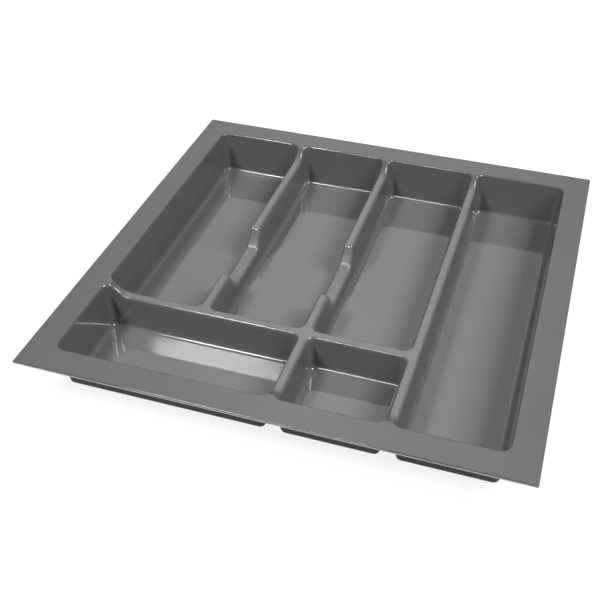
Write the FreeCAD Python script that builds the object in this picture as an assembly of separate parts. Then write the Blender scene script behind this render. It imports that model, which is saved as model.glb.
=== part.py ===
import math
import os

import FreeCAD
import Part

# Drawer cutlery tray, vacuum-formed from one plastic sheet, in millimetres.
# X runs to the right, Y to the back and Z up, and the wells stand on Z = 0.
# The sheet is one piece, and its regions are kept as solids that meet face to face.

# Overall size
tray_width = 490.0
tray_depth = 490.0
tray_height = 51.2

# Sheet: its full thickness at the rim and the dividers' tops, and at the wells' floors, where it is drawn thin
sheet = 2.8
drawn_sheet = 1.2

# Rim: its width is measured to the sharp corner of rim and well wall
side_rim_width = 28.2
end_rim_width = 29.2
rim_edge_radius = 0.8

# Wells: drafted walls that lean more outside, because they thin towards the floor, with the radius
# where they meet the floor, also in its corners, and at the mouth
draft_angle = 6.0
outer_draft_angle = 7.2
floor_radius = 5.0
edge_radius = 3.0

# Dividers: hollow ridges, lower than the rim, with their width at the flat top
divider_drop = 12.6
divider_width = 9.4
divider_pitch = 110.6
cross_divider_y = -109.0

# Ramps that lift a divider's top to the rim
ramp_angle = 40.0
ramp_setback = 4.5
ramp_crest_radius = 8.0
ramp_foot_radius = 20.0

# Finger notches in two of the dividers
notch_angle = 58.0
notch_length = 91.0
notch_depth = 21.0
notch_y = -1.0
notch_crest_radius = 4.0
notch_foot_radius = 10.0

# Where the regions part: a lip below the rounded edges, and a straight bit past each rounded corner
lip_below_edge = 3.0
straight_bit = 2.0

# Sizes worked out from the above
draft = math.tan(math.radians(draft_angle))
wall_shift = 1.0 / math.cos(math.radians(draft_angle))
divider_top = tray_height - divider_drop
block_x = tray_width / 2 - side_rim_width
block_y = tray_depth / 2 - end_rim_width
half_divider = divider_width / 2 - divider_drop * draft
ball_z = drawn_sheet + floor_radius
rim_corner = floor_radius * wall_shift + (tray_height - ball_z) * draft
turn = half_divider + rim_corner + straight_bit
ramp_run = divider_drop / math.tan(math.radians(ramp_angle))
ramp_tail = ramp_foot_radius * math.tan(math.radians(ramp_angle / 2))
ramp_length = ramp_setback + ramp_run + ramp_tail + straight_bit
lip_height = edge_radius + lip_below_edge
least_radius = sheet / 10
over = tray_height
touching = 1e-3


def block(x0, x1, y0, y1, z0, z1):
    return Part.makeBox(x1 - x0, y1 - y0, z1 - z0, FreeCAD.Vector(x0, y0, z0))


def level_edges(shape, z):
    return [e for e in shape.Edges if all(abs(v.Z - z) < touching for v in e.Vertexes)]


def wall_profile(radius, lean):
    # the half section of a well, from the upright axis of its rounded corner out to the leaning wall
    top_z = tray_height + over
    top_x = radius / math.cos(math.radians(lean)) + (top_z - ball_z) * math.tan(math.radians(lean))

    def at(angle):
        turned = math.radians(angle)
        return FreeCAD.Vector(radius * math.cos(turned), 0, ball_z - radius * math.sin(turned))

    corners = [at(lean), FreeCAD.Vector(top_x, 0, top_z), FreeCAD.Vector(0, 0, top_z), at(90)]
    lines = [Part.LineSegment(a, b).toShape() for a, b in zip(corners, corners[1:])]
    bend = Part.Arc(at(90), at((90 + lean) / 2), at(lean)).toShape()
    return Part.Face(Part.Wire(lines + [bend]))


def well_form(rect, radius, lean):
    # a rounded block that widens upwards, standing on its rounded foot
    x0, x1, y0, y1 = rect
    left, right = x0 + rim_corner, x1 - rim_corner
    front, back = y0 + rim_corner, y1 - rim_corner
    up = FreeCAD.Vector(0, 0, 1)
    middle = block(left, right, front, back, ball_z - radius, tray_height + over)
    # each wall with the corner before it: where that corner's axis stands, and how far the wall runs
    walls = ((right, front, 0, back - front), (right, back, left - right, 0),
             (left, back, 0, front - back), (left, front, right - left, 0))
    sides = []
    for i, (x, y, run_x, run_y) in enumerate(walls):
        foot = FreeCAD.Vector(x, y, 0)
        section = wall_profile(radius, lean).rotate(FreeCAD.Vector(0, 0, 0), up, 90 * i).translate(foot)
        sides.append(section.extrude(FreeCAD.Vector(run_x, run_y, 0)))
        sides.append(section.revolve(foot, up, -90))
    return middle.fuse(sides).removeSplitter()


def hollow_of(rect):
    return well_form(rect, floor_radius, draft_angle)


def outside_of(rect):
    return well_form(rect, floor_radius + drawn_sheet, outer_draft_angle)


def rounded_line(points):
    # straight runs joined by tangent arcs, from points given as place, height and radius
    edges = []
    start = FreeCAD.Vector(0, points[0][0], points[0][1])
    for before, here, after in zip(points, points[1:], points[2:]):
        a, p, b = (FreeCAD.Vector(0, q[0], q[1]) for q in (before, here, after))
        back = (a - p).normalize()
        ahead = (b - p).normalize()
        half = back.getAngle(ahead) / 2
        reach = here[2] / math.tan(half)
        middle = (back + ahead).normalize() * (here[2] / math.sin(half) - here[2])
        first = p + back * reach
        last = p + ahead * reach
        edges.append(Part.LineSegment(start, first).toShape())
        edges.append(Part.Arc(first, p + middle, last).toShape())
        start = last
    end = FreeCAD.Vector(0, points[-1][0], points[-1][1])
    edges.append(Part.LineSegment(start, end).toShape())
    return edges


def slope(top, way, lower, high, fall, angle, crest, foot):
    # the crest and foot of a slope that falls away from its top edge, set down by an offset
    shift = lower * math.tan(math.radians(angle / 2))
    run = fall / math.tan(math.radians(angle))
    return [
        (top - way * shift, high - lower, max(crest - lower, least_radius)),
        (top + way * (run - shift), high - fall - lower, foot + lower),
    ]


def ramp_slope(rim, way, lower):
    return slope(rim + way * ramp_setback, way, lower, tray_height, divider_drop,
                 ramp_angle, ramp_crest_radius, ramp_foot_radius)


def notch_slope(way, lower):
    return slope(notch_y - way * notch_length / 2, way, lower, divider_top, notch_depth,
                 notch_angle, notch_crest_radius, notch_foot_radius)


def deck_line(low_end, high_end, notched, lower):
    # a divider's top line; an end is a rim wall's place, or a plain end where it meets a divider
    low, low_is_rim = low_end
    high, high_is_rim = high_end
    points = [(low, divider_top - lower, 0)]
    if low_is_rim:
        points = [(low - over, tray_height - lower, 0)] + ramp_slope(low, 1, lower)
    if notched:
        points += notch_slope(1, lower) + notch_slope(-1, lower)[::-1]
    if high_is_rim:
        points += ramp_slope(high, -1, lower)[::-1] + [(high + over, tray_height - lower, 0)]
    else:
        points += [(high, divider_top - lower, 0)]
    return points


def deck_cut(line, centre, along_x):
    # what is taken off above a divider's top line, across the divider and its rounded corners
    edges = rounded_line(line)
    first, last = line[0], line[-1]
    lid = [(last[0], last[1]), (last[0], 2 * over), (first[0], 2 * over), (first[0], first[1])]
    corners = [FreeCAD.Vector(0, y, z) for y, z in lid]
    edges += [Part.LineSegment(a, b).toShape() for a, b in zip(corners, corners[1:])]
    face = Part.Face(Part.Wire(edges))
    cut = face.extrude(FreeCAD.Vector(2 * turn, 0, 0))
    cut.translate(FreeCAD.Vector(centre - turn, 0, 0))
    if along_x:
        cut = cut.mirror(FreeCAD.Vector(0, 0, 0), FreeCAD.Vector(1, -1, 0))
    return cut


def under_deck(lower):
    # everything below the tray's top surface, or below that surface set down by an offset
    back, front = (block_y, True), (-block_y, True)
    meet_cross = (cross_divider_y, False)
    body = block(-tray_width / 2, tray_width / 2, -tray_depth / 2, tray_depth / 2,
                 0, tray_height - lower)
    cuts = [
        deck_cut(deck_line(meet_cross, back, True, lower), -divider_pitch, False),
        deck_cut(deck_line(meet_cross, back, True, lower), 0, False),
        deck_cut(deck_line(front, back, False, lower), divider_pitch, False),
        deck_cut(deck_line(front, meet_cross, False, lower), 0, False),
        deck_cut(deck_line((-block_x, True), (divider_pitch, False), False, lower),
                 cross_divider_y, True),
    ]
    return body.cut(cuts)


def well_rects():
    # each well's outline at the rim's height, out to the sharp corners
    left, right = -block_x, block_x
    front, back = -block_y, block_y
    columns = [-divider_pitch, 0.0, divider_pitch]
    rear = (cross_divider_y + half_divider, back)
    fore = (front, cross_divider_y - half_divider)
    return {
        "knife_well": (left, columns[0] - half_divider) + rear,
        "fork_well": (columns[0] + half_divider, columns[1] - half_divider) + rear,
        "spoon_well": (columns[1] + half_divider, columns[2] - half_divider) + rear,
        "long_side_well": (columns[2] + half_divider, right, front, back),
        "wide_front_well": (left, columns[1] - half_divider) + fore,
        "small_front_well": (columns[1] + half_divider, columns[2] - half_divider) + fore,
    }


def outline_edges(shape):
    # the rim's upper outer edges
    def reach(edge):
        middle = edge.CenterOfMass
        return max(abs(middle.x) - tray_width / 2, abs(middle.y) - tray_depth / 2)

    return [e for e in level_edges(shape, tray_height) if reach(e) > -touching]


def mouth_edges(shape, hollows, body):
    # the edges where the deck turns down into the wells
    def lies_on(edge, solid):
        middle = edge.valueAt((edge.FirstParameter + edge.LastParameter) / 2)
        return solid.Shells[0].distToShape(Part.Vertex(middle))[0] < touching

    high = [e for e in shape.Edges if e.BoundBox.ZMin > ball_z]
    on_deck = [e for e in high if lies_on(e, body)]
    return [e for e in on_deck if any(lies_on(e, hollow) for hollow in hollows)]


def well(rect):
    # a pan: a well's floor and its drafted walls, up to the deck's lips
    return outside_of(rect).common(under_deck(lip_height)).cut(hollow_of(rect))


def deck(rects):
    # the rim and the dividers' tops, with the rounded edges and the lips that the pans meet
    hollows = [hollow_of(rect) for rect in rects]
    body = under_deck(0)
    skin = body.cut(under_deck(sheet))
    pans = [outside_of(rect).common(body) for rect in rects]
    formed = skin.fuse(pans).cut(hollows).removeSplitter()
    formed = formed.makeFillet(edge_radius, mouth_edges(formed, hollows, body))
    formed = formed.makeFillet(rim_edge_radius, outline_edges(formed))
    return formed.cut(under_deck(lip_height))


def deck_regions():
    # the plan of each divider's cap, as x0, x1, y0, y1; what is left of the deck is the rim
    end_x = block_x - ramp_length
    end_y = block_y - ramp_length
    behind_cross = cross_divider_y + turn
    before_cross = cross_divider_y - turn
    left_of_right = divider_pitch - turn
    return {
        "left_divider": (-divider_pitch - turn, -divider_pitch + turn, behind_cross, end_y),
        "middle_divider": (-turn, turn, behind_cross, end_y),
        "right_divider": (left_of_right, divider_pitch + turn, -end_y, end_y),
        "cross_divider": (-end_x, left_of_right, before_cross, behind_cross),
        "front_divider": (-turn, turn, -end_y, before_cross),
    }


def main():
    os.makedirs("parts", exist_ok=True)
    rects = well_rects()
    nodes = {name: well(rect) for name, rect in rects.items()}
    top = deck(rects.values())
    plots = {name: block(*plan, 0, tray_height) for name, plan in deck_regions().items()}
    for name, plot in plots.items():
        nodes[name] = top.common(plot)
    nodes["rim_flange"] = top.cut(list(plots.values()))
    for name, shape in nodes.items():
        solid, = shape.Solids
        solid.exportStep("parts/" + name + ".step")
        print(name, solid.isValid(), round(solid.Volume), solid.optimalBoundingBox())


main()
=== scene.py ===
import math

import bpy
from mathutils import Matrix, Vector
from mathutils.geometry import delaunay_2d_cdt


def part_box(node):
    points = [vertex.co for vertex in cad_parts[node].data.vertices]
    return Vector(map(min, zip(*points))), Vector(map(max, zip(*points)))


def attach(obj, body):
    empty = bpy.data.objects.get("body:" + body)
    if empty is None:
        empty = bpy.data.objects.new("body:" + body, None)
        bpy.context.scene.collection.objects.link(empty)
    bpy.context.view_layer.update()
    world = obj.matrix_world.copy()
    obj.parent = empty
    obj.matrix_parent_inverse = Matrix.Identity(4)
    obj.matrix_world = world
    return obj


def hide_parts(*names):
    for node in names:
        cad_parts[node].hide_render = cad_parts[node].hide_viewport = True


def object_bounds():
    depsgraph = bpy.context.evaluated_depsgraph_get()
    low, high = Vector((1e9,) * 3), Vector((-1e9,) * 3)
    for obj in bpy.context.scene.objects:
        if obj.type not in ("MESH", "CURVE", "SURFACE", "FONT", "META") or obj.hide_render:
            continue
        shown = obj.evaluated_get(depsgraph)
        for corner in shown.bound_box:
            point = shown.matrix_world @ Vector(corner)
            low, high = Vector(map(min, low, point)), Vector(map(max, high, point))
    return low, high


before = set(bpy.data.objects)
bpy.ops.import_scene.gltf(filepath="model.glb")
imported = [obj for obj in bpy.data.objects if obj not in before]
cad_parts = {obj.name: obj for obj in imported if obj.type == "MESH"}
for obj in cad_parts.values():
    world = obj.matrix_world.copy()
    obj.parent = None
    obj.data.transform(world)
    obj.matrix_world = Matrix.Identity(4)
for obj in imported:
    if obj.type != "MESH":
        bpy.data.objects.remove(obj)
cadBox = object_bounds()
print("frame loaded with", len(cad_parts), "CAD nodes")

# the formed sheet, in metres and degrees; overall size, divider places and region ends come from the frame
sheetForm = {
    "thickness": 0.0028,       # at the rim and the divider tops
    "drawnThickness": 0.0012,  # at the well floors
    "sideRim": 0.0282,         # rim width at the left and right, to the sharp corner with the well wall
    "endRim": 0.0292,          # the same at the front and back
    "draft": 6.0,
    "outerDraft": 7.2,         # the walls thin towards the floor
    "floorRound": 0.005,       # also the radius of the ball corners at the floor
    "mouthRound": 0.0024,
    "dividerWidth": 0.0094,
    "lip": 0.006,              # how far the rim and divider pieces reach down the walls
    "straightBit": 0.002,      # how far a divider's shape goes past the rounded corners beside it
    "rimEdge": 0.0012,
    "rimCorner": 0.0013,
    "cutEdge": 0.00015,
    "rampAngle": 40.0,
    "rampSetback": 0.0045,
    "rampCrest": 0.008,
    "rampFoot": 0.020,
    "notchAngle": 58.0,
    "notchLength": 0.091,
    "notchDepth": 0.021,
    "notchY": -0.001,
    "notchCrest": 0.004,
    "notchFoot": 0.010,
    "leastCrest": 0.00028,     # radius of a crest that is set down by more than its own
}

# how finely the sheet is meshed
meshing = {
    "arcStep": 6.0,            # degrees between points on a rounded stretch
    "longestRun": 0.03,        # between points on a straight stretch
    "nearest": 2e-4,           # a place closer than this to the end of a stretch is left out
    "wallBands": 4,
    "rimSteps": 4,
    "tries": 20,               # to find the height where a wall meets the deck
    "merge": 1e-7,
}

rimX, rimY, rimZ = cadBox[1]
leftBox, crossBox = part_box("left_divider"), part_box("cross_divider")
pitch = -(leftBox[0].x + leftBox[1].x) / 2
crossY = (crossBox[0].y + crossBox[1].y) / 2
dividerTop = crossBox[1].z
drop = rimZ - dividerTop
tanDraft = math.tan(math.radians(sheetForm["draft"]))
cosDraft = math.cos(math.radians(sheetForm["draft"]))
sinDraft = math.sin(math.radians(sheetForm["draft"]))
halfDivider = sheetForm["dividerWidth"] / 2 - drop * tanDraft
mouthX, mouthY = rimX - sheetForm["sideRim"], rimY - sheetForm["endRim"]
up = Vector((0, 0, 1))


def wallReach(z):
    # from a corner's upright axis out to the drafted wall, at a height
    ballHeight = sheetForm["drawnThickness"] + sheetForm["floorRound"]
    return sheetForm["floorRound"] / cosDraft + (z - ballHeight) * tanDraft


cornerReach = wallReach(rimZ)
cutReach = halfDivider + cornerReach + sheetForm["straightBit"]


# lines of a divider's top: straight runs joined by tangent arcs

def arcLine(points):
    pieces = []
    start = Vector(points[0][:2])
    for before, here, after in zip(points, points[1:], points[2:]):
        corner = Vector(here[:2])
        back = (Vector(before[:2]) - corner).normalized()
        ahead = (Vector(after[:2]) - corner).normalized()
        half = back.angle(ahead) / 2
        reach = here[2] / math.tan(half)
        centre = corner + (back + ahead).normalized() * (here[2] / math.sin(half))
        pieces.append((start, corner + back * reach, None, 0))
        pieces.append((corner + back * reach, corner + ahead * reach, centre, here[2]))
        start = corner + ahead * reach
    pieces.append((start, Vector(points[-1][:2]), None, 0))
    return pieces


def onLine(pieces, place):
    # height and normal of the line at a place along it
    for a, b, centre, radius in pieces:
        if place <= b.x or b is pieces[-1][1]:
            break
    if centre is None:
        slope = (b.y - a.y) / max(b.x - a.x, 1e-9)
        return a.y + slope * (place - a.x), Vector((-slope, 1)).normalized()
    side = 1 if centre.y < a.y else -1
    height = centre.y + side * math.sqrt(max(radius ** 2 - (place - centre.x) ** 2, 0))
    return height, Vector((place - centre.x, height - centre.y)) * (side / radius)


def slopeCorners(top, way, lower, high, fall, angle, crest, foot):
    shift = lower * math.tan(math.radians(angle / 2))
    run = fall / math.tan(math.radians(angle))
    return [
        (top - way * shift, high - lower, max(crest - lower, sheetForm["leastCrest"])),
        (top + way * (run - shift), high - fall - lower, foot + lower),
    ]


def rampCorners(rim, way, lower):
    return slopeCorners(rim + way * sheetForm["rampSetback"], way, lower, rimZ, drop,
                        sheetForm["rampAngle"], sheetForm["rampCrest"], sheetForm["rampFoot"])


def notchCorners(way, lower):
    return slopeCorners(sheetForm["notchY"] - way * sheetForm["notchLength"] / 2, way, lower, dividerTop,
                        sheetForm["notchDepth"], sheetForm["notchAngle"],
                        sheetForm["notchCrest"], sheetForm["notchFoot"])


def dividerLine(low, high, notched, lower):
    # an end is a place and whether the rim is there
    points = [(low[0], dividerTop - lower, 0)]
    if low[1]:
        points = [(low[0] - rimZ, rimZ - lower, 0)] + rampCorners(low[0], 1, lower)
    if notched:
        points += notchCorners(1, lower) + notchCorners(-1, lower)[::-1]
    if high[1]:
        points += rampCorners(high[0], -1, lower)[::-1] + [(high[0] + rimZ, rimZ - lower, 0)]
    else:
        points += [(high[0], dividerTop - lower, 0)]
    return arcLine(points)


def dividerLines(lower):
    # along X or not, where its middle is, and its top line
    front, back, cross = (-mouthY, True), (mouthY, True), (crossY, False)
    return [
        (False, -pitch, dividerLine(cross, back, True, lower)),
        (False, 0.0, dividerLine(cross, back, True, lower)),
        (False, pitch, dividerLine(front, back, False, lower)),
        (False, 0.0, dividerLine(front, cross, False, lower)),
        (True, crossY, dividerLine((-mouthX, True), (pitch, False), False, lower)),
    ]


deckLines = {lower: dividerLines(lower) for lower in (0, sheetForm["mouthRound"], sheetForm["lip"])}


def deckAt(x, y, lower):
    # height and normal of the rim and divider tops, or of that surface set down by an offset
    height, normal = rimZ - lower, up
    for alongX, middle, line in deckLines[lower]:
        along, across = (x, y) if alongX else (y, x)
        if abs(across - middle) < cutReach and line[0][0].x <= along <= line[-1][1].x:
            z, n = onLine(line, along)
            if z < height:
                height = z
                normal = Vector((n.x, 0, n.y)) if alongX else Vector((0, n.x, n.y))
    return height, normal


def spread(low, high, places):
    # the places that lie inside a straight stretch, with others so that none is far from the next
    gap = meshing["nearest"]
    stops = [low] + sorted(p for p in places if low + gap < p < high - gap) + [high]
    full = []
    for a, b in zip(stops, stops[1:]):
        count = max(1, math.ceil((b - a) / meshing["longestRun"]))
        full += [a + (b - a) * i / count for i in range(count)]
    return full + [high]


def arcPlaces(alongX, wall):
    # where the mouth's rounding needs points along a wall, from the line of the divider beside it
    places = []
    for lineAlongX, middle, line in deckLines[0]:
        if lineAlongX == alongX and abs(middle - wall) < cutReach:
            for a, b, centre, _ in line:
                if centre is None:
                    continue
                turn = math.degrees((a - centre).angle(b - centre))
                count = max(2, math.ceil(turn / meshing["arcStep"]))
                for i in range(count + 1):
                    place = a.x + (b.x - a.x) * i / count
                    places.append(place - sheetForm["mouthRound"] * onLine(line, place)[1].x)
    return places


def regionEnds(alongX):
    # where the divider pieces end, so that the mesh parts there
    axis = 0 if alongX else 1
    return [corner[axis] for box in dividerBoxes.values() for corner in box]


dividerNames = ["left_divider", "middle_divider", "right_divider", "cross_divider", "front_divider"]
dividerBoxes = {name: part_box(name) for name in dividerNames}
columns = [-pitch, 0.0, pitch]
rear = (crossY + halfDivider, mouthY)
fore = (-mouthY, crossY - halfDivider)
wells = {
    "knife_well": (-mouthX, columns[0] - halfDivider) + rear,
    "fork_well": (columns[0] + halfDivider, columns[1] - halfDivider) + rear,
    "spoon_well": (columns[1] + halfDivider, columns[2] - halfDivider) + rear,
    "long_side_well": (columns[2] + halfDivider, mouthX, -mouthY, mouthY),
    "wide_front_well": (-mouthX, columns[1] - halfDivider) + fore,
    "small_front_well": (columns[1] + halfDivider, columns[2] - halfDivider) + fore,
}


def outline(x0, x1, y0, y1, reach, placesX, placesY):
    # anchors and outward directions round a rounded rectangle, anticlockwise from above
    left, right, front, back = x0 + reach, x1 - reach, y0 + reach, y1 - reach
    steps = round(90 / meshing["arcStep"])
    ring = []

    def corner(x, y, start):
        for i in range(1, steps):
            angle = math.radians(start + 90 * i / steps)
            ring.append((Vector((x, y)), Vector((math.cos(angle), math.sin(angle)))))

    ring += [(Vector((right, y)), Vector((1, 0))) for y in spread(front, back, placesY(x1))]
    corner(right, back, 0)
    ring += [(Vector((x, back)), Vector((0, 1))) for x in spread(left, right, placesX(y1))[::-1]]
    corner(left, back, 90)
    ring += [(Vector((left, y)), Vector((-1, 0))) for y in spread(front, back, placesY(x0))[::-1]]
    corner(left, front, 180)
    ring += [(Vector((x, front)), Vector((0, -1))) for x in spread(left, right, placesX(y0))]
    corner(right, front, 270)
    return ring


# the mesh is built as one skin with exact normals, and parted into the frame's regions

vertices, normals, shadingPaints, depths, wears = [], [], [], [], []
vertexAt = {}
regionFaces = {}
wallsAlongX, wallsAlongY = set(), set()


def addVertex(place, normal, tone, depth, wear):
    # points at one place with one normal are one vertex
    key = tuple(round(v, 7) for v in place) + tuple(round(v, 3) for v in normal)
    if key not in vertexAt:
        vertexAt[key] = len(vertices)
        vertices.append(place)
        normals.append(normal)
        shadingPaints.append(tone)
        depths.append(depth)
        wears.append(wear)
    return vertexAt[key]


def addFace(region, corners):
    unique = list(dict.fromkeys(corners))
    if len(unique) > 2:
        regionFaces.setdefault(region, []).append(unique)


def deckRegion(x, y):
    for name, (low, high) in dividerBoxes.items():
        if low.x < x < high.x and low.y < y < high.y:
            return name
    return "rim_flange"


def turned(a, b, share):
    # a unit vector part of the way from one to another
    angle = a.angle(b)
    return (a * math.sin((1 - share) * angle) + b * math.sin(share * angle)) / math.sin(angle)


# how pale each face of the sheet is painted against the plastic's colour, fitted to the photo: painted light
# and shade, with paler divider tops, floors and end walls, darker side walls and walls under the rim, and a
# painted highlight on the cut edge
paintedShading = {"rim": 0.97, "dividerTop": 1.36, "sideWall": 0.9, "endWall": 1.12,
             "rimWall": 0.92, "floor": 1.2, "cutEdge": 6.0}


def between(a, b, share):
    return a + (b - a) * share


def wellRings(anchor, out):
    # one upright line of the skin, from the deck over the mouth and down the wall to the floor,
    # and how many of the bands between its points belong to the deck's piece
    mouth, floor = sheetForm["mouthRound"], sheetForm["floorRound"]
    full, drawn = sheetForm["thickness"], sheetForm["drawnThickness"]
    thinning = math.tan(math.radians(sheetForm["outerDraft"])) - tanDraft
    outward = Vector((out.x, out.y, 0))
    wallNormal = up * sinDraft - outward * cosDraft

    def wallPoint(z):
        plan = anchor + out * wallReach(z)
        return Vector((plan.x, plan.y, z))

    def wallDepth(z):
        return drawn + max(z - drawn - floor, 0) * thinning

    z = rimZ - mouth
    for _ in range(meshing["tries"]):
        plan = anchor + out * (wallReach(z) + mouth / cosDraft)
        z, deckNormal = deckAt(plan.x, plan.y, mouth)
    centre = Vector((plan.x, plan.y, z))
    bend = round((90 - sheetForm["draft"]) / meshing["arcStep"] / 2)
    lowered = (rimZ - mouth - z) / drop
    # painted light and shade: divider tops are painted paler than the rim, end walls paler than side walls,
    # and walls under the rim darker
    deckPaintedShading = between(paintedShading["rim"], paintedShading["dividerTop"], min(lowered, 1))
    wallPaintedShading = between(paintedShading["sideWall"], paintedShading["endWall"], abs(out.y))
    wallPaintedShading *= between(paintedShading["rimWall"], 1, min(lowered, 1))
    wear = min(max(lowered - 1, 0), 1)  # fingers rub the notches
    line = []
    for i in range(bend + 1):
        normal = turned(deckNormal, wallNormal, i / bend)
        # painted shade: on each well's right side the mouth rounding darkens towards the wall's paint, so the
        # left-facing edges of dividers and rim read dark; elsewhere it keeps the deck's paint
        tone = between(deckPaintedShading, wallPaintedShading, max(out.x, 0) * i / bend)
        depth = between(full, wallDepth(z), i / bend)
        line.append((centre + normal * mouth, normal, tone, depth, wear))
    z = rimZ - sheetForm["lip"]
    for _ in range(meshing["tries"]):
        plan = wallPoint(z)
        z = deckAt(plan.x, plan.y, sheetForm["lip"])[0]
    low = drawn + floor - floor * sinDraft
    for i in range(meshing["wallBands"]):
        height = between(z, low, i / meshing["wallBands"])
        line.append((wallPoint(height), wallNormal, wallPaintedShading, wallDepth(height), 0))
    ball = wallPoint(drawn + floor) - outward * (floor / cosDraft)
    for i in range(bend + 1):
        normal = turned(wallNormal, up, i / bend)
        # painted light: the floor rounding passes to the floor's paler paint
        tone = between(wallPaintedShading, paintedShading["floor"], i / bend)
        line.append((ball - normal * floor, normal, tone, drawn, 0))
    return line, bend + 1


def addWell(name, rect):
    placesX = lambda wall: arcPlaces(True, wall) + regionEnds(True)
    placesY = lambda wall: arcPlaces(False, wall) + regionEnds(False)
    ring = outline(*rect, cornerReach, placesX, placesY)
    lines = [wellRings(anchor, out) for anchor, out in ring]
    lipBand = lines[0][1]
    rows = [[addVertex(*point) for point in line] for line, _ in lines]
    for here, after in zip(rows, rows[1:] + rows[:1]):
        middle = (vertices[here[0]] + vertices[after[0]]) / 2
        deck = deckRegion(middle.x, middle.y)
        for k in range(len(here) - 1):
            region = deck if k < lipBand else name
            addFace(region, [here[k], after[k], after[k + 1], here[k + 1]])
    addFace(name, [row[-1] for row in rows])
    wallsAlongX.update(row[0] for row, (anchor, out) in zip(rows, ring) if out.x == 0)
    wallsAlongY.update(row[0] for row, (anchor, out) in zip(rows, ring) if out.y == 0)
    return [row[0] for row in rows]


def inside(point, loop):
    # whether a point lies in a loop of the skin's vertices, seen from above
    hits = False
    for i, j in zip(loop, loop[1:] + loop[:1]):
        a, b = vertices[i], vertices[j]
        if (a.y > point.y) != (b.y > point.y):
            hits ^= point.x < a.x + (b.x - a.x) * (point.y - a.y) / (b.y - a.y)
    return hits


def addDeck(mouths, rimLoop):
    # fills the rim and divider tops between the mouths, with edges straight across each divider
    loops = mouths + [rimLoop]
    order = list(dict.fromkeys(i for loop in loops for i in loop))
    place = {vertex: i for i, vertex in enumerate(order)}
    edges = [(place[i], place[j]) for loop in loops for i, j in zip(loop, loop[1:] + loop[:1])]
    for alongX, middle, line in deckLines[0]:
        sides = {}  # the points that face each other over the divider
        for i in wallsAlongX if alongX else wallsAlongY:
            along, across = vertices[i].to_2d() if alongX else vertices[i].yx
            if abs(across - middle) < cutReach and line[0][0].x < along < line[-1][1].x:
                sides.setdefault(round(along, 5), []).append(i)
        edges += [(place[pair[0]], place[pair[1]]) for pair in sides.values() if len(pair) == 2]
    flat = [vertices[i].to_2d() for i in order]
    points, _, faces, origin, _, _ = delaunay_2d_cdt(flat, edges, [], 0, meshing["merge"])
    for face in faces:
        middle = sum((points[i] for i in face), Vector((0, 0))) / len(face)
        if not any(inside(middle, loop) for loop in mouths):
            addFace(deckRegion(middle.x, middle.y), [order[origin[i][0]] for i in face])


def addRimEdge():
    # the rim's cut side and its rounded upper edge, as one row of points for each place round it
    edge, cut, corner = sheetForm["rimEdge"], sheetForm["cutEdge"], sheetForm["rimCorner"]
    noPlaces = lambda wall: []
    ring = outline(-rimX, rimX, -rimY, rimY, corner, noPlaces, noPlaces)
    level, under = math.radians(90), math.radians(180)
    profile = []
    for i in range(meshing["rimSteps"] + 1):
        angle = level * i / meshing["rimSteps"]
        reach = corner - edge + edge * math.sin(angle)
        profile.append((reach, rimZ - edge + edge * math.cos(angle), angle, 0))
    base = rimZ - sheetForm["thickness"]
    # the cut side, marked 1: it is painted pale, a painted highlight along the cut edge, and it is made
    # rougher
    profile.append((corner, rimZ - edge - cut, level, 1))
    profile.append((corner, base + cut, level, 1))
    profile.append((corner - cut, base, under, 0))
    rows = []
    for anchor, out in ring:
        row = []
        for reach, z, angle, wear in profile:
            plan = anchor + out * reach
            normal = Vector((out.x * math.sin(angle), out.y * math.sin(angle), math.cos(angle)))
            place = Vector((plan.x, plan.y, z))
            # painted highlight: the cut side is painted far paler than the rim
            tone = between(paintedShading["rim"], paintedShading["cutEdge"], wear)
            row.append(addVertex(place, normal, tone, sheetForm["thickness"], wear))
        rows.append(row)
    return rows


rimRows = addRimEdge()
rimLoop = [row[0] for row in rimRows]
mouthLoops = [addWell(name, rect) for name, rect in wells.items()]
addDeck(mouthLoops, rimLoop)
print("upper skin:", len(vertices), "points")

# the underside is the upper skin set in by the sheet's thickness
topCount = len(vertices)
for i in range(topCount):
    vertices.append(vertices[i] - normals[i] * depths[i])
    normals.append(-normals[i])
    shadingPaints.append(shadingPaints[i])
    wears.append(0)
for faces in regionFaces.values():
    faces += [[i + topCount for i in reversed(face)] for face in faces]
for here, after in zip(rimRows, rimRows[1:] + rimRows[:1]):
    for k in range(len(here) - 1):
        addFace("rim_flange", [here[k + 1], after[k + 1], after[k], here[k]])
    addFace("rim_flange", [here[0] + topCount, after[0] + topCount, after[-1], here[-1]])


def nodeMaker(tree):
    # gives a function that adds a node; its values are constants or outputs, one for each named socket
    def node(kind, values, **settings):
        made = tree.nodes.new(kind)
        for name, value in settings.items():
            setattr(made, name, value)
        for name, value in values.items():
            if isinstance(value, bpy.types.NodeSocket):
                tree.links.new(value, made.inputs[name])
            else:
                made.inputs[name].default_value = value
        return made.outputs
    return node


# glossy dark grey plastic sheet: faint clouding, fine scuffs and ripple
greyPlastic = {
    "colour": (0.128, 0.129, 0.130),
    "clouding": 0.04,
    "cloudScale": 14.0,
    "cloudEnds": (0.3, 0.7),         # of the noise, for the darkest and palest clouds
    "roughness": 0.06,
    "scuffRoughness": 0.11,
    "scuffSlant": 62.0,
    "scuffStretch": (18, 900, 60),
    "scuffEnds": (0.62, 0.74),       # of the noise, for no scuff and a full one
    "wornRoughness": 0.3,            # added where the sheet is worn or cut
    "ior": 1.65,
    "ripple": 0.00012,
    "rippleScale": 9.0,
    "grain": 0.000002,
    "grainScale": 700.0,
}


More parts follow.
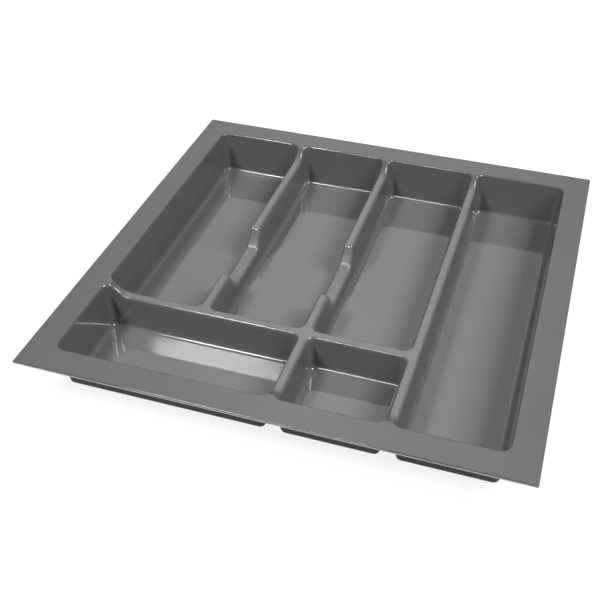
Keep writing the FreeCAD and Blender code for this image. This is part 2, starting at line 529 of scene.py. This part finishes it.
def plasticMaterial():
    mat = bpy.data.materials.new("greyPlastic")
    mat.use_nodes = True
    tree = mat.node_tree
    node = nodeMaker(tree)
    shader = tree.nodes["Principled BSDF"].inputs
    shader["IOR"].default_value = greyPlastic["ior"]
    place = node("ShaderNodeTexCoord", {})["Object"]

    clouds = node("ShaderNodeTexNoise", {
        "Vector": place, "Scale": greyPlastic["cloudScale"], "Detail": 4.0, "Roughness": 0.6})
    cloudShade = node("ShaderNodeMapRange", {
        "Value": clouds["Fac"],
        "From Min": greyPlastic["cloudEnds"][0], "From Max": greyPlastic["cloudEnds"][1],
        "To Min": 1 - greyPlastic["clouding"], "To Max": 1 + greyPlastic["clouding"]})
    # times the painted light and shade stored on each point of the skin
    tone = node("ShaderNodeAttribute", {}, attribute_name="tone")
    shade = node("ShaderNodeMath", {0: cloudShade["Result"], 1: tone["Fac"]}, operation="MULTIPLY")
    tint = node("ShaderNodeVectorMath", {
        0: greyPlastic["colour"], "Scale": shade["Value"]}, operation="SCALE")
    tree.links.new(tint["Vector"], shader["Base Color"])

    # hairline scuffs: noise drawn out along one slant, kept only where it peaks
    slant = node("ShaderNodeMapping", {
        "Vector": place, "Rotation": (0, 0, math.radians(greyPlastic["scuffSlant"])),
        "Scale": greyPlastic["scuffStretch"]})
    hairs = node("ShaderNodeTexNoise", {"Vector": slant["Vector"], "Scale": 1.0, "Detail": 2.0})
    scuffs = node("ShaderNodeMapRange", {
        "Value": hairs["Fac"],
        "From Min": greyPlastic["scuffEnds"][0], "From Max": greyPlastic["scuffEnds"][1],
        "To Min": greyPlastic["roughness"], "To Max": greyPlastic["scuffRoughness"]})
    wear = node("ShaderNodeAttribute", {}, attribute_name="wear")
    worn = node("ShaderNodeMath", {
        0: wear["Fac"], 1: greyPlastic["wornRoughness"], 2: scuffs["Result"]}, operation="MULTIPLY_ADD")
    tree.links.new(worn["Value"], shader["Roughness"])

    # broad ripple of the cooled sheet, with a fine grain on it
    ripple = node("ShaderNodeTexNoise", {
        "Vector": place, "Scale": greyPlastic["rippleScale"], "Detail": 1.0})
    broad = node("ShaderNodeBump", {
        "Strength": 1.0, "Distance": greyPlastic["ripple"], "Height": ripple["Fac"]})
    grain = node("ShaderNodeTexNoise", {
        "Vector": place, "Scale": greyPlastic["grainScale"], "Detail": 2.0})
    fine = node("ShaderNodeBump", {
        "Strength": 1.0, "Distance": greyPlastic["grain"], "Height": grain["Fac"], "Normal": broad["Normal"]})
    tree.links.new(fine["Normal"], shader["Normal"])
    return mat


def makePiece(node, material):
    # one region of the skin as a piece of its own, in the place of its CAD node
    words = node.split("_")
    name = words[0] + "".join(word.capitalize() for word in words[1:])
    faces = regionFaces[node]
    used = sorted({i for face in faces for i in face})
    place = {vertex: i for i, vertex in enumerate(used)}
    mesh = bpy.data.meshes.new(name)
    mesh.from_pydata([vertices[i] for i in used], [], [[place[i] for i in face] for face in faces])
    mesh.polygons.foreach_set("use_smooth", [True] * len(mesh.polygons))
    # the painted light and shade, and the wear that roughens the sheet, as attributes for the material
    for label, values in (("tone", shadingPaints), ("wear", wears)):
        mesh.attributes.new(label, "FLOAT", "POINT").data.foreach_set("value", [values[i] for i in used])
    mesh.normals_split_custom_set_from_vertices([normals[i] for i in used])
    mesh.materials.append(material)
    piece = bpy.data.objects.new(name, mesh)
    bpy.context.scene.collection.objects.link(piece)
    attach(piece, "root")
    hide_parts(node)
    print(name, len(mesh.vertices), "points", len(mesh.polygons), "faces")


plastic = plasticMaterial()
for node in ["rim_flange"] + dividerNames + list(wells):
    makePiece(node, plastic)

# pale floor, two lamps for light, three that are only reflected, and a surround with one bright patch
studio = {
    "floorSize": 12.0,
    "floorColour": (0.22, 0.22, 0.22, 1),
    "floorRoughness": 0.9,
    "floorGlow": 0.86,
    "floorMirror": 0.4,                  # the glow as reflections show it
    "fadeStart": 0.6,                    # from here out the glow rises to white
    "fadeEnd": 1.8,
    "rightPlace": (1.85, -0.16, 2.14),
    "rightSize": (1.18, 1.18),
    "rightPower": 72.0,
    "leftPlace": (-1.025, -1.60, 2.46),
    "leftSize": (0.505, 0.38),
    "leftPower": 32.8,
    "fillPlace": (-1.38, -1.46, 2.37),
    "fillSize": (0.6, 0.6),
    "fillPower": 62.0,
    "frontPlace": (-0.52, -2.40, 1.92),
    "frontSize": (0.5, 0.42),
    "frontPower": 18.0,
    "glintPlace": (1.62, -0.16, 2.34),
    "glintSize": (0.8, 0.8),
    "glintPower": 70.0,
    "patchWay": (-0.207, 0.676, 0.707),  # towards the bright patch of the surround
    "patchShape": (1.0, 0.5, 0.5),       # taller than it is wide
    "patchReach": 0.4,                   # from its middle to where it has faded
    "patchLevel": 1.2,
    "surround": 0.08,
    "ambient": 0.03,                     # what the surround gives as plain light
}


def straightRays(node, path):
    # 1 for what the camera sees itself, or through something clear
    return node("ShaderNodeMath", {
        0: path["Is Camera Ray"], 1: path["Is Transmission Ray"]}, operation="MAXIMUM")["Value"]


def makeFloor():
    half = studio["floorSize"] / 2
    corners = [(-half, -half, 0), (half, -half, 0), (half, half, 0), (-half, half, 0)]
    mesh = bpy.data.meshes.new("floor")
    mesh.from_pydata(corners, [], [(0, 1, 2, 3)])
    floor = bpy.data.objects.new("floor", mesh)
    bpy.context.scene.collection.objects.link(floor)
    mat = bpy.data.materials.new("paleFloor")
    mat.use_nodes = True
    tree = mat.node_tree
    node = nodeMaker(tree)
    shader = tree.nodes["Principled BSDF"].inputs
    shader["Base Color"].default_value = studio["floorColour"]
    shader["Roughness"].default_value = studio["floorRoughness"]
    shader["Emission Color"].default_value = (1, 1, 1, 1)

    # the glow is there for the camera and for reflections, and lights nothing
    path = node("ShaderNodeLightPath", {})
    mirrored = node("ShaderNodeMath", {
        0: path["Is Glossy Ray"], 1: studio["floorMirror"]}, operation="MULTIPLY")
    # it rises to white away from the tray, so that the floor shows no edge in low views
    place = node("ShaderNodeTexCoord", {})["Object"]
    distance = node("ShaderNodeVectorMath", {0: place}, operation="LENGTH")
    level = node("ShaderNodeMapRange", {
        "Value": distance["Value"], "From Min": studio["fadeStart"], "From Max": studio["fadeEnd"],
        "To Min": studio["floorGlow"]})
    glow = node("ShaderNodeMath", {
        0: straightRays(node, path), 1: level["Result"], 2: mirrored["Value"]}, operation="MULTIPLY_ADD")
    tree.links.new(glow["Value"], shader["Emission Strength"])
    mesh.materials.append(mat)


def makeWorld():
    world = bpy.data.worlds.new("surround")
    bpy.context.scene.world = world
    world.use_nodes = True
    tree = world.node_tree
    node = nodeMaker(tree)
    direction = node("ShaderNodeTexCoord", {})["Generated"]
    away = node("ShaderNodeVectorMath", {0: direction, 1: studio["patchWay"]}, operation="SUBTRACT")
    shaped = node("ShaderNodeVectorMath", {0: away["Vector"], 1: studio["patchShape"]}, operation="MULTIPLY")
    distance = node("ShaderNodeVectorMath", {0: shaped["Vector"]}, operation="LENGTH")
    sky = node("ShaderNodeMapRange", {
        "Value": distance["Value"], "From Max": studio["patchReach"],
        "To Min": studio["patchLevel"], "To Max": studio["surround"]})
    # reflections show the patch, plain light is even, and the camera sees white
    path = node("ShaderNodeLightPath", {})
    mirrored = node("ShaderNodeMix", {
        "Factor": path["Is Glossy Ray"], "A": studio["ambient"], "B": sky["Result"]})
    seen = node("ShaderNodeMix", {
        "Factor": straightRays(node, path), "A": mirrored["Result"], "B": 1.0})
    background = tree.nodes["Background"].inputs
    background["Color"].default_value = (1, 1, 1, 1)
    tree.links.new(seen["Result"], background["Strength"])


def makeLamp(name):
    data = bpy.data.lights.new(name, "AREA")
    data.shape = "RECTANGLE"
    data.size, data.size_y = studio[name + "Size"]
    data.energy = studio[name + "Power"]
    lamp = bpy.data.objects.new(name, data)
    lamp.location = studio[name + "Place"]
    lamp.rotation_euler = (-lamp.location).to_track_quat("-Z", "Y").to_euler()
    # the right lamp and the fill give the light, and the others are there to be reflected
    lamp.visible_diffuse = name in ("right", "fill")
    lamp.visible_glossy = not lamp.visible_diffuse
    bpy.context.scene.collection.objects.link(lamp)


makeFloor()
makeWorld()
for lampName in ("right", "fill", "left", "front", "glint"):
    makeLamp(lampName)
print("floor, surround and lamps placed")

# the photograph's camera, fitted to the rim's outline in a 616 x 616 image
viewer = {
    "place": (0.2166, -0.7623, 0.6467),
    "yaw": -17.506,
    "pitch": 40.0,
    "roll": 0.1342,
    "lens": 54.06,
    "sensor": 36,
    "shift": (-0.01243, 0.0008),
}


def makeCamera():
    yaw, pitch, roll = (math.radians(viewer[k]) for k in ("yaw", "pitch", "roll"))
    ahead = Vector((math.sin(yaw) * math.cos(pitch), math.cos(yaw) * math.cos(pitch), -math.sin(pitch)))
    right = Vector((math.cos(yaw), -math.sin(yaw), 0))
    level = right.cross(ahead)
    side = right * math.cos(roll) + level * math.sin(roll)
    top = level * math.cos(roll) - right * math.sin(roll)
    data = bpy.data.cameras.new("viewer")
    data.sensor_width = viewer["sensor"]
    data.lens = viewer["lens"]
    data.shift_x, data.shift_y = viewer["shift"]
    camera = bpy.data.objects.new("viewer", data)
    turn = Matrix((side, top, -ahead)).transposed().to_4x4()
    camera.matrix_world = Matrix.Translation(viewer["place"]) @ turn
    bpy.context.scene.collection.objects.link(camera)
    bpy.context.scene.camera = camera


makeCamera()
bpy.context.scene.view_settings.view_transform = "Standard"
print("camera set")
